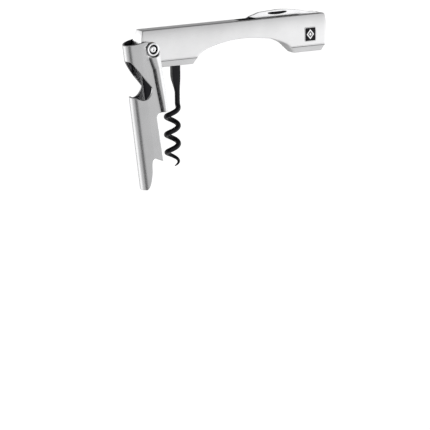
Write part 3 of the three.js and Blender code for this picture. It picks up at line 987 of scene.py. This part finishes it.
def foil_blade():
    bm = stand_up(plate(blade_outline(), half=BLADE_HALF, edge=0.1, steps=2))
    sliced(bm, 2, spaced(-0.5, 4.4, 0.55) + spaced(4.55, 5.6, 0.15) + spaced(5.7, 7.9, 0.12))
    sliced(bm, 0, spaced(-42.5, -31.0, 0.8) + spaced(-30.0, -17.0, 0.25) + spaced(-16.0, -9.5, 0.5))
    for vert in bm.verts:
        vert.co = ground(vert.co)
    bm = combined(bm, lathe(bar_profile(PIVOT_PIN + 0.1, -3, 3), sides=48), "DIFFERENCE")
    # painted shade on the blade below the handle's top edge, inside the slot, and in the nail nick's
    # hollow
    dark = bm.verts.layers.float.new("dark")
    for vert in bm.verts:
        slot_shade = smoothstep(HIDDEN_Z, HIDDEN_Z - 0.3, vert.co.z) * smoothstep(-10.6, -11.0, vert.co.x)
        nick = smoothstep(0.0, 0.35, in_nick(vert.co.x, vert.co.z)) if vert.co.y < 0 else 0.0
        vert[dark] = max(nick, 0.9 * slot_shade)
    return piece("foil_blade_ground", bm, BLADE, blade_steel)


blade = foil_blade()
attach(blade, "blade")
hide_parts("foil_blade")


# ---------------------------------------------------------------- springs

SPRING_EYE_R = 1.55
SPRING_BORE = SMALL_PIN + 0.1


def spring_outline(eye, tip, z, thick):
    """Side view of a leaf with a rolled eye round its pin and a lowered tip."""
    away = 1.0 if tip > eye[0] else -1.0
    upper = math.asin((z - eye[1]) / SPRING_EYE_R)
    lower = math.asin((z - thick - eye[1]) / SPRING_EYE_R) + 2 * math.pi
    rolled = [
        (eye[0] + away * SPRING_EYE_R * math.cos(turn), eye[1] + SPRING_EYE_R * math.sin(turn))
        for turn in spaced(upper, lower, 0.4)
    ]
    return outline([
        (*rolled[0], 0.1), *rolled[1:-1], (*rolled[-1], 0.1), (tip, z - thick, 0.2),
        (tip, z - 0.25, 0.2), (tip - away * 1.2, z, 0.4),
    ])


def leaf_spring(name, eye, tip, z, thick, half):
    side = spring_outline(eye, tip, z, thick)
    bore = circle(*eye, SPRING_BORE)
    bm = stand_up(plate(side, holes=[bore], half=half, edge=0.1, steps=2))
    return piece(name, bm, HANDLE, spring_steel)


worm_spring = leaf_spring("worm_leaf_spring", WORM_SPRING_EYE, 11.0, -2.6, 1.0, 1.6)
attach(worm_spring, "handle")
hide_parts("worm_spring")

blade_spring = leaf_spring("blade_leaf_spring", BLADE_SPRING_EYE, 107.0, -0.45, 1.5, 0.9)
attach(blade_spring, "handle")
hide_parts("blade_spring")


# ---------------------------------------------------------------- stage, light and camera

FLOOR_DROP = 0.34        # metres below the frame's origin
FLOOR_GLOW = 0.8
BELOW = 0.8              # brightness of the studio under every patch


def floor():
    """Evenly lit white floor. Gloss reflects the studio's walls in its place."""
    bm = bmesh.new()
    bmesh.ops.create_grid(bm, x_segments=1, y_segments=1, size=30.0)
    bm.transform(Matrix.Translation((0, 0, -FLOOR_DROP)))
    ground_plane = loose_object("floor", bm)
    material, principled = shader("pale_floor", (0.86, 0.86, 0.86), 0.0, 0.6)
    principled.inputs["Emission Color"].default_value = (1.0, 1.0, 1.0, 1.0)
    principled.inputs["Emission Strength"].default_value = FLOOR_GLOW
    ground_plane.data.materials.append(material)
    ground_plane.visible_glossy = False


def world(heights, patches):
    """Studio walls: brightness by height (sine of elevation), then soft round patches over it,
    each as azimuth and elevation, inner and outer angle, brightness."""
    room = bpy.data.worlds.new("studio")
    room.use_nodes = True
    nodes, links = room.node_tree.nodes, room.node_tree.links
    where = nodes.new("ShaderNodeTexCoord")
    level = None
    for patch in heights + patches:
        aim = (0, 0, 1)
        if len(patch) > 3:
            aim = direction(*patch[:2])
            start, stop = math.cos(math.radians(patch[3])), math.cos(math.radians(patch[2]))
        else:
            start, stop = patch[:2]
        brightness = patch[-1]
        dot = nodes.new("ShaderNodeVectorMath")
        dot.operation = "DOT_PRODUCT"
        dot.inputs[1].default_value = aim
        links.new(where.outputs["Generated"], dot.inputs[0])
        mask = nodes.new("ShaderNodeMapRange")
        mask.interpolation_type = "SMOOTHSTEP"
        mask.inputs["From Min"].default_value = start
        mask.inputs["From Max"].default_value = stop
        links.new(dot.outputs["Value"], mask.inputs["Value"])
        mix = nodes.new("ShaderNodeMix")
        links.new(mask.outputs["Result"], mix.inputs["Factor"])
        mix.inputs["A"].default_value = BELOW
        if level is not None:
            links.new(level, mix.inputs["A"])
        mix.inputs["B"].default_value = brightness
        level = mix.outputs["Result"]
    links.new(level, nodes["Background"].inputs["Color"])
    bpy.context.scene.world = room


def softbox(name, position, size, power, aim):
    light = bpy.data.lights.new(name, "AREA")
    light.shape = "RECTANGLE"
    light.size, light.size_y = size
    light.energy = power
    lamp = bpy.data.objects.new(name, light)
    bpy.context.scene.collection.objects.link(lamp)
    lamp.location = position
    lamp.rotation_mode = "QUATERNION"
    lamp.rotation_quaternion = (Vector(aim) - Vector(position)).to_track_quat("-Z", "Y")


def camera(azimuth, elevation, roll, distance, span, aim):
    """Long lens. aim is how far the picture's centre lies right of and above the lever's pivot."""
    back = direction(azimuth, elevation)
    turn = (-back).to_track_quat("-Z", "Y") @ Quaternion((0, 0, 1), math.radians(roll))
    right, up = turn @ Vector((1, 0, 0)), turn @ Vector((0, 1, 0))
    data = bpy.data.cameras.new("camera")
    data.sensor_width = 36.0
    data.lens = data.sensor_width * distance / span
    data.clip_end = 100.0
    eye = bpy.data.objects.new("camera", data)
    bpy.context.scene.collection.objects.link(eye)
    eye.rotation_mode = "QUATERNION"
    eye.rotation_quaternion = turn
    eye.location = HANDLE.translation + right * aim[0] + up * aim[1] + back * distance
    bpy.context.scene.camera = eye


floor()
world(
    heights=[(-0.95, -0.3, 1.08), (0.08, 0.55, 0.22)],
    patches=[
        (80, -10, 20, 45, 2.2),
        (-146, -8, 13, 28, 2.2),
        (64, 54, 15, 32, 0.06),
        (-80, -20, 5, 19, 0.12),
        (168, -28, 10, 24, 0.4),
        (150, 14, 5, 22, 0.45),
    ],
)
softbox("side_panel", (0.30, -0.24, -0.02), (0.22, 0.3), 0.06, aim=(0.05, 0.0, 0.0))
camera(azimuth=-30.0, elevation=11.4, roll=-0.6, distance=2.506, span=0.2306, aim=(0.03663, -0.08975))
bpy.context.scene.view_settings.view_transform = "Standard"
